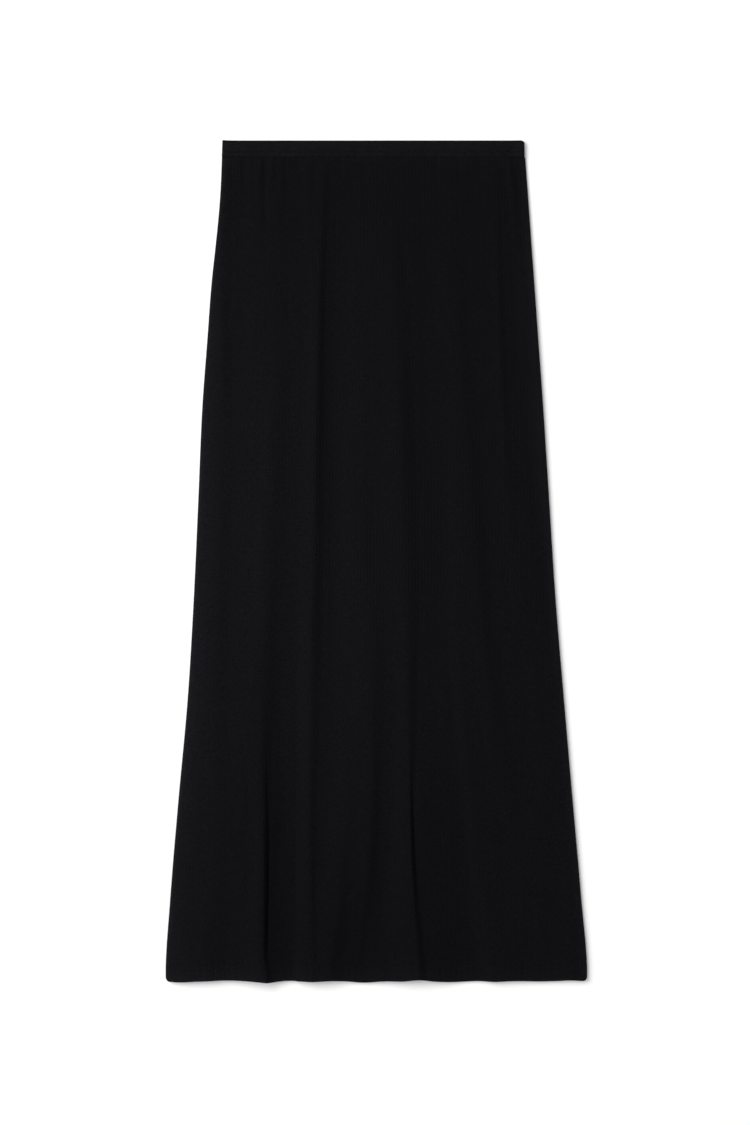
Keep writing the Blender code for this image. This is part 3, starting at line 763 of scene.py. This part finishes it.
def band_relief(x, down):
    """What stitching and elastic raise and lower on the waistband's outer face."""
    strip = ease((down - CASING_DEPTH) / 0.002) * (1 - ease((down - 0.0175) / 0.001))
    above = 1 - ease((down - CASING_DEPTH) / 0.003)
    patches = 0.55 + 0.45 * sine(x, 0.113, 0.6)
    pucker = sine(x, 0.0058, 2.2 * sine(x, 0.067, 1.0)) * patches
    broad = sine(x, 0.019, 1.5 * sine(x, 0.14))
    relief = row_grooves(down, WAIST_ROWS, WAIST_GROOVE) - DENT_DEPTH * stitch_dents(x, down)
    relief = relief + strip * (0.00010 * pucker + 0.00004 * broad)
    return relief + above * (0.00005 * broad + 0.00002 * pucker) - BAND_SINK


def band_painted_light_and_tone(x, down):
    """How pale the waistband's cloth is drawn: painted highlight at its top and ends, painted shade along
    its top edge, in the stitched rows and in the dents, and a random tone.
    """
    ends = edge_highlight(x - BAND_LEFT, LEFT_HIGHLIGHT) + edge_highlight(BAND_RIGHT - x, RIGHT_HIGHLIGHT)
    painted_light = edge_highlight(down, WAIST_TOP_HIGHLIGHT) + BAND_END_HIGHLIGHT_SHARE * ends
    # painted shade along the band's top edge, where the cloth turns under
    painted_top_edge_shade = 1 - 0.45 * (1 - ease((down - 0.0010) / 0.0012))
    patches = sine(x, 0.031, 90 * down) * sine(x, 0.047, 1.0)
    # painted highlight on the strip between the rows of stitches
    strip = hill((down - BETWEEN_WAIST_ROWS) / 0.0013) * (0.6 + 0.4 * sine(x, 0.083, 2.0))
    # painted light and shade: paler on the ribs' crowns, darker between them
    crown = 0.35 * RIB_PAINTED_SHADE * np.cos(rib_turn(x, down)) * (1 - ease((down - 0.0105) / 0.002))
    pale = 1 + 0.10 * patches + 0.06 * strip + crown
    # painted light: the band's lowest millimetre a little paler
    painted_lower_edge_light = 1 + 0.04 * ease((down - 0.0165) / 0.0010)
    # painted shade along the stitched rows and in each stitch's dent, stronger in some stretches
    seen = 0.75 + 0.25 * sine(x, 0.15, 2.6)
    rows = sum(hill((down - row) / 0.0007) for row in WAIST_ROWS)
    painted_row_shade = 1 - seen * rows * (0.08 + 0.60 * np.cos(2 * math.pi * (x / STITCH_PITCH - 0.5)))
    painted_dent_shade = painted_row_shade * (1 - 0.90 * seen * np.minimum(1.3 * stitch_dents(x, down), 1))
    return (1 + painted_light) * pale * painted_dent_shade * painted_lower_edge_light * painted_top_edge_shade * painted_light_of_place(x, down)


def band_section():
    """The waistband's wall cut across: how far out of its middle and how far down, point by point."""
    half = BAND_WALL / 2
    chamfer = 0.0004
    top = 0.0012
    fine_from = 0.0112
    face = np.concatenate([
        np.arange(BAND_DEPTH - chamfer, fine_from, -0.00032),
        np.linspace(fine_from, top, 9),
    ])
    turn = np.linspace(0, math.pi / 2, 6)[1:]
    section = [(-half, BAND_DEPTH - chamfer), (-half + chamfer, BAND_DEPTH), (half - chamfer, BAND_DEPTH)]
    section += [(half, down) for down in face]
    section += [(half - 0.0010 * (1 - math.cos(a)), top * (1 - math.sin(a))) for a in turn]
    section += [(0.0, 0.0), (-half + 0.0006, 0.0002), (-half, top)]
    return np.array(section).T


def waistband():
    """The waistband's closed ring, fine outside and plain inside."""
    out, down = band_section()[:, None, :]
    x, z, nx, nz = (values[:, None] for values in band_line().T)
    outward = out + band_relief(x, down) * (out > BAND_WALL / 2 - SAME_PLACE)
    corner = 0.0
    for inside, radius in ((BAND_RIGHT - x, BAND_CORNER_RADIUS), (x - BAND_LEFT, LEFT_CORNER_RADIUS)):
        corner = corner + radius * (1 - quarter_round(inside, radius))
    from_end = np.clip((x - BAND_LEFT) / BACK_PEEK_REACH, 0, 1)
    peek = BACK_PEEK * (1 - from_end) ** 2 * ease(0.9 - nz)
    y = LENGTH / 2 - down + (peek - corner) * (1 - down / BAND_DEPTH)
    flare = RIGHT_FLARE * (1 - ease((BAND_RIGHT - x) / FLARE_REACH))
    flare = flare - LEFT_FLARE * (1 - ease((x - BAND_LEFT) / FLARE_REACH))
    points = np.stack([x + outward * nx + flare * down / BAND_DEPTH, y, z + outward * nz], -1)
    around, size = points.shape[:2]
    numbers = np.arange(around * size).reshape(around, size)
    faces = []
    for i in range(around):
        after = numbers[(i + 1) % around]
        for k in range(size):
            faces.append([numbers[i, k], after[k], after[(k + 1) % size], numbers[i, (k + 1) % size]])
    painted_light_and_tone = band_painted_light_and_tone(x, down * np.ones_like(x))
    return add_object("waistband_cloth", points.reshape(-1, 3), faces, painted_light_and_tone.ravel())


band_cloth = waistband()


# The stitches
def thread_arcs(name, length, places, normals):
    """A mesh of arched stitches along X, each centred on a place and arched along its normal."""
    sides = 5
    rings = np.linspace(-1, 1, 5)
    around = np.arange(sides) * 2 * math.pi / sides
    template = []
    for t in rings:
        radius = THREAD_RADIUS * math.sqrt(1.12 - t * t)
        lift = THREAD_RADIUS * 1.1 * (1 - t * t) - THREAD_RADIUS * 0.7
        for a in around:
            template.append((t * length / 2, radius * math.cos(a), lift + radius * math.sin(a)))
    template = np.array(template)
    faces = []
    for r in range(len(rings) - 1):
        for k in range(sides):
            a, b = r * sides + k, r * sides + (k + 1) % sides
            faces.append([a, b, b + sides, a + sides])
    faces.append(list(range(sides))[::-1])
    faces.append(list(range(len(template) - sides, len(template))))
    rng = np.random.default_rng(14)
    vertices = []
    all_faces = []
    for i, (place, normal) in enumerate(zip(places, normals)):
        tilt = rng.normal(0, STITCH_SPREAD)
        size = 1 + rng.normal(0, STITCH_SPREAD)
        x, y, z = template.T
        x = x * size
        turned_x = x * math.cos(tilt) - y * math.sin(tilt)
        turned_y = x * math.sin(tilt) + y * math.cos(tilt)
        nx, nz = normal
        vertices.append(np.stack([
            place[0] + turned_x * nz + z * nx,
            place[1] + turned_y,
            place[2] - turned_x * nx + z * nz,
        ], 1))
        all_faces += [[v + i * len(template) for v in face] for face in faces]
    return add_object(name, np.concatenate(vertices), all_faces)


def hem_stitches():
    """Two rows on the front panel's hem and two on the back's."""
    margin = 0.0012
    step = 0.0005
    under_back = 0.00026
    places, normals = [], []
    for row in HEM_ROWS:
        down = LENGTH - row
        x = np.arange(float(LEFT_SIDE(down)) + margin, float(RIGHT_SIDE(down)) - margin, STITCH_PITCH)
        z = front_fine(x, np.full_like(x, down))
        slope = (front_height(x + step, down, 0.0) - front_height(x - step, down, 0.0)) / (2 * step)
        size = np.sqrt(1 + slope * slope)
        y = LENGTH / 2 - down - hem_dips(x, down)
        for i in range(len(x)):
            places.append((x[i], y[i], z[i] + THREAD_STANDS))
            normals.append((-slope[i] / size[i], 1 / size[i]))
            places.append((x[i], y[i], under_back))
            normals.append((0.0, -1.0))
    return thread_arcs("hem_stitches", HEM_STITCH, places, normals)


def waist_stitches():
    """Two rows round the waistband, each stitch in its own dent."""
    line = band_line()
    looped = np.concatenate([line, line[:1]])
    steps = np.linalg.norm(np.diff(looped[:, :2], axis=0), axis=1)
    travelled = np.concatenate([[0.0], np.cumsum(steps)])
    first = (STITCH_PITCH / 2 - line[0, 0]) % STITCH_PITCH
    where = np.arange(first, travelled[-1], STITCH_PITCH)
    x, z, nx, nz = (np.interp(where, travelled, values) for values in looped.T)
    length = np.hypot(nx, nz)
    nx, nz = nx / length, nz / length
    places, normals = [], []
    for row in WAIST_ROWS:
        out = BAND_WALL / 2 + band_relief(x, np.full_like(x, row)) + THREAD_STANDS
        out = np.where(nz < -0.5, out - 0.00010, out)
        for i in range(len(where)):
            places.append((x[i] + out[i] * nx[i], LENGTH / 2 - row, z[i] + out[i] * nz[i]))
            normals.append((nx[i], nz[i]))
    return thread_arcs("waist_stitches", WAIST_STITCH, places, normals)


hem_thread = hem_stitches()
waist_thread = waist_stitches()


# Materials
KNIT_DEPTH = 0.00003
TWIST_DEPTH = 0.00004
NOISE_LOW = 0.3  # a noise seldom leaves the values between these two
NOISE_HIGH = 0.7
SHEEN_ROUGHNESS = 0.35


def new_material(name, colour, roughness, sheen, specular):
    """A material whose shader's plain values are set, and its node tree for more."""
    material = bpy.data.materials.new(name)
    material.use_nodes = True
    tree = material.node_tree
    shader = tree.nodes["Principled BSDF"]
    shader.inputs["Base Color"].default_value = (*colour, 1.0)
    shader.inputs["Roughness"].default_value = roughness
    shader.inputs["Specular IOR Level"].default_value = specular
    shader.inputs["Sheen Weight"].default_value = sheen
    shader.inputs["Sheen Roughness"].default_value = SHEEN_ROUGHNESS
    return material, tree, shader


def node(tree, kind, inputs=(), **settings):
    """A node with its settings and inputs, which are values or other nodes' outputs."""
    made = tree.nodes.new(kind)
    for name, value in settings.items():
        setattr(made, name, value)
    for key, value in dict(inputs).items():
        if isinstance(value, bpy.types.NodeSocket):
            tree.links.new(value, made.inputs[key])
        else:
            made.inputs[key].default_value = value
    return made


def maths(tree, operation, *values):
    """The output of one arithmetic node."""
    return node(tree, "ShaderNodeMath", dict(enumerate(values)), operation=operation).outputs[0]


def noise(tree, place, stretch, scale, detail):
    """A noise over the piece, with its place multiplied by a factor along each axis."""
    drawn = node(tree, "ShaderNodeVectorMath", {0: place, 1: stretch}, operation="MULTIPLY").outputs[0]
    inputs = {"Vector": drawn, "Scale": scale, "Detail": detail}
    return node(tree, "ShaderNodeTexNoise", inputs).outputs["Fac"]


def about_one(tree, value, share):
    """A noise turned into a factor that goes as far below and above one as the share."""
    ends = {"From Min": NOISE_LOW, "From Max": NOISE_HIGH, "To Min": 1 - share, "To Max": 1 + share}
    return node(tree, "ShaderNodeMapRange", {"Value": value, **ends}).outputs[0]


def add_bump(tree, shader, height, strength, depth):
    """Gives a shader the relief of a height."""
    bump = node(tree, "ShaderNodeBump", {"Height": height, "Strength": strength, "Distance": depth})
    tree.links.new(bump.outputs["Normal"], shader.inputs["Normal"])


def knit_height(tree, place, wale, course):
    """A height for rows of V stitches: wale is a stitch's width and course its length."""
    parts = node(tree, "ShaderNodeSeparateXYZ", {0: place}).outputs
    across = maths(tree, "MULTIPLY", parts["X"], 1 / wale)
    inside = maths(tree, "FRACT", across)
    centred = maths(tree, "ABSOLUTE", maths(tree, "SUBTRACT", inside, 0.5))
    along = maths(tree, "MULTIPLY", parts["Y"], 1 / course)
    slanted = maths(tree, "ADD", along, maths(tree, "MULTIPLY", centred, 1.1))
    loops = maths(tree, "SINE", maths(tree, "MULTIPLY", slanted, 2 * math.pi))
    crown = maths(tree, "COSINE", maths(tree, "MULTIPLY", centred, 4 * math.pi))
    return maths(tree, "ADD", maths(tree, "MULTIPLY", loops, 0.5), maths(tree, "MULTIPLY", crown, -0.4))


def jersey_material(name, colour, sheen, wale, course, lint_share):
    """Black jersey: fine knit, slightly mottled, with a soft sheen."""
    material, tree, shader = new_material(name, colour, 0.9, sheen, 0.06)
    place = node(tree, "ShaderNodeTexCoord").outputs["Object"]
    mottle = noise(tree, place, (1.0, 0.22, 1.0), 55.0, 3.0)
    lint = noise(tree, place, (1.0, 0.85, 1.0), 570.0, 1.0)
    streaks = noise(tree, place, (0.3, 1.0, 1.0), 450.0, 1.0)
    pale = maths(tree, "MULTIPLY", about_one(tree, lint, lint_share), about_one(tree, streaks, 0.08))
    pale = maths(tree, "MULTIPLY", about_one(tree, mottle, 0.035), pale)
    # the meshes' painted light and shade, with the band's random tone, pale and darken the base colour
    painted_light_term = node(tree, "ShaderNodeAttribute", attribute_name="painted_light_and_tone").outputs["Fac"]
    pale = maths(tree, "MULTIPLY", pale, painted_light_term)
    tinted = node(tree, "ShaderNodeVectorMath", {0: colour, "Scale": pale}, operation="SCALE")
    tree.links.new(tinted.outputs[0], shader.inputs["Base Color"])
    fuzz = maths(tree, "MULTIPLY", lint, 0.8)
    height = maths(tree, "ADD", knit_height(tree, place, wale, course), fuzz)
    add_bump(tree, shader, height, 1.0, KNIT_DEPTH)
    return material


def thread_material(name, colour):
    """Black sewing thread: twisted, and a little shinier than the cloth."""
    material, tree, shader = new_material(name, colour, 0.80, 0.012, 0.06)
    place = node(tree, "ShaderNodeTexCoord").outputs["Object"]
    twist = node(
        tree, "ShaderNodeTexWave", {"Vector": place, "Scale": 900.0, "Distortion": 1.0},
        bands_direction="DIAGONAL",
    )
    add_bump(tree, shader, twist.outputs["Fac"], 0.6, TWIST_DEPTH)
    return material


PANEL_BLACK = (0.00245, 0.00245, 0.00316)
BAND_BLACK = (0.0040, 0.0040, 0.0049)
HEM_THREAD_BLACK = (0.0042, 0.0042, 0.0050)
# painted shade: the waistband's thread is drawn darker than the hem's, for the shade between the loops
# that it lies in
WAIST_THREAD_SHADED_BLACK = (0.0022, 0.0022, 0.0027)
jersey = jersey_material("black_rib_jersey", PANEL_BLACK, 0.010, RIB_PITCH / 3, 0.0010, 0.31)
band_jersey = jersey_material("black_band_jersey", BAND_BLACK, 0.012, 0.0009, 0.0008, 0.29)
hem_black = thread_material("black_thread", HEM_THREAD_BLACK)
waist_shaded_black = thread_material("black_thread_in_painted_shade", WAIST_THREAD_SHADED_BLACK)

for piece, nodes, slot, material in (
    (front_cloth, ("front_panel",), "jersey", jersey),
    (back_cloth, ("back_panel",), "jersey", jersey),
    (band_cloth, ("waistband",), "band", band_jersey),
    (hem_thread, (), "jersey", hem_black),
    (waist_thread, (), "band", waist_shaded_black),
):
    piece.data.materials.append(material)
    if nodes:
        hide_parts(*nodes)


# The studio: a pale surface, soft light from the upper left, the camera straight above
FLOOR_HALF = 4.0
FLOOR_GAP = 0.0002  # the floor lies this far below the skirt
floor_corners = [
    (x * FLOOR_HALF, y * FLOOR_HALF, -FLOOR_GAP) for x, y in ((-1, -1), (1, -1), (1, 1), (-1, 1))
]
floor_mesh = bpy.data.meshes.new("floor")
floor_mesh.from_pydata(floor_corners, [], [(0, 1, 2, 3)])
floor = bpy.data.objects.new("floor", floor_mesh)
bpy.context.scene.collection.objects.link(floor)
floor_mesh.materials.append(new_material("white_surface", (0.9, 0.9, 0.9), 1.0, 0.0, 0.0)[0])

SKY_STRENGTH = 0.62
world = bpy.data.worlds.new("studio")
world.use_nodes = True
sky = world.node_tree.nodes["Background"]
sky.inputs["Color"].default_value = (1.0, 1.0, 1.0, 1.0)
sky.inputs["Strength"].default_value = SKY_STRENGTH
bpy.context.scene.world = world

KEY_PLACE = (-2.20, 0.95, 2.30)
KEY_SIZE = 3.0
KEY_POWER = 132.0
key_data = bpy.data.lights.new("key", "AREA")
key_data.shape = "DISK"
key_data.size = KEY_SIZE
key_data.energy = KEY_POWER
key = bpy.data.objects.new("key", key_data)
key.location = KEY_PLACE
key.rotation_mode = "QUATERNION"
key.rotation_quaternion = (-Vector(KEY_PLACE)).to_track_quat("-Z", "Y")
bpy.context.scene.collection.objects.link(key)

CAMERA_PLACE = (-0.00150, -0.00204, 2.4)
PICTURE_HEIGHT = 1.2375  # of the surface, from the photograph's lower edge to its upper one
SENSOR = 36.0
camera_data = bpy.data.cameras.new("camera")
camera_data.sensor_width = SENSOR
camera_data.lens = SENSOR * CAMERA_PLACE[2] / PICTURE_HEIGHT
camera_data.clip_start = 0.05
camera_data.clip_end = 20.0
camera = bpy.data.objects.new("camera", camera_data)
camera.location = CAMERA_PLACE
bpy.context.scene.collection.objects.link(camera)
bpy.context.scene.camera = camera

bpy.context.scene.view_settings.view_transform = "Standard"
bpy.context.scene.view_settings.look = "None"
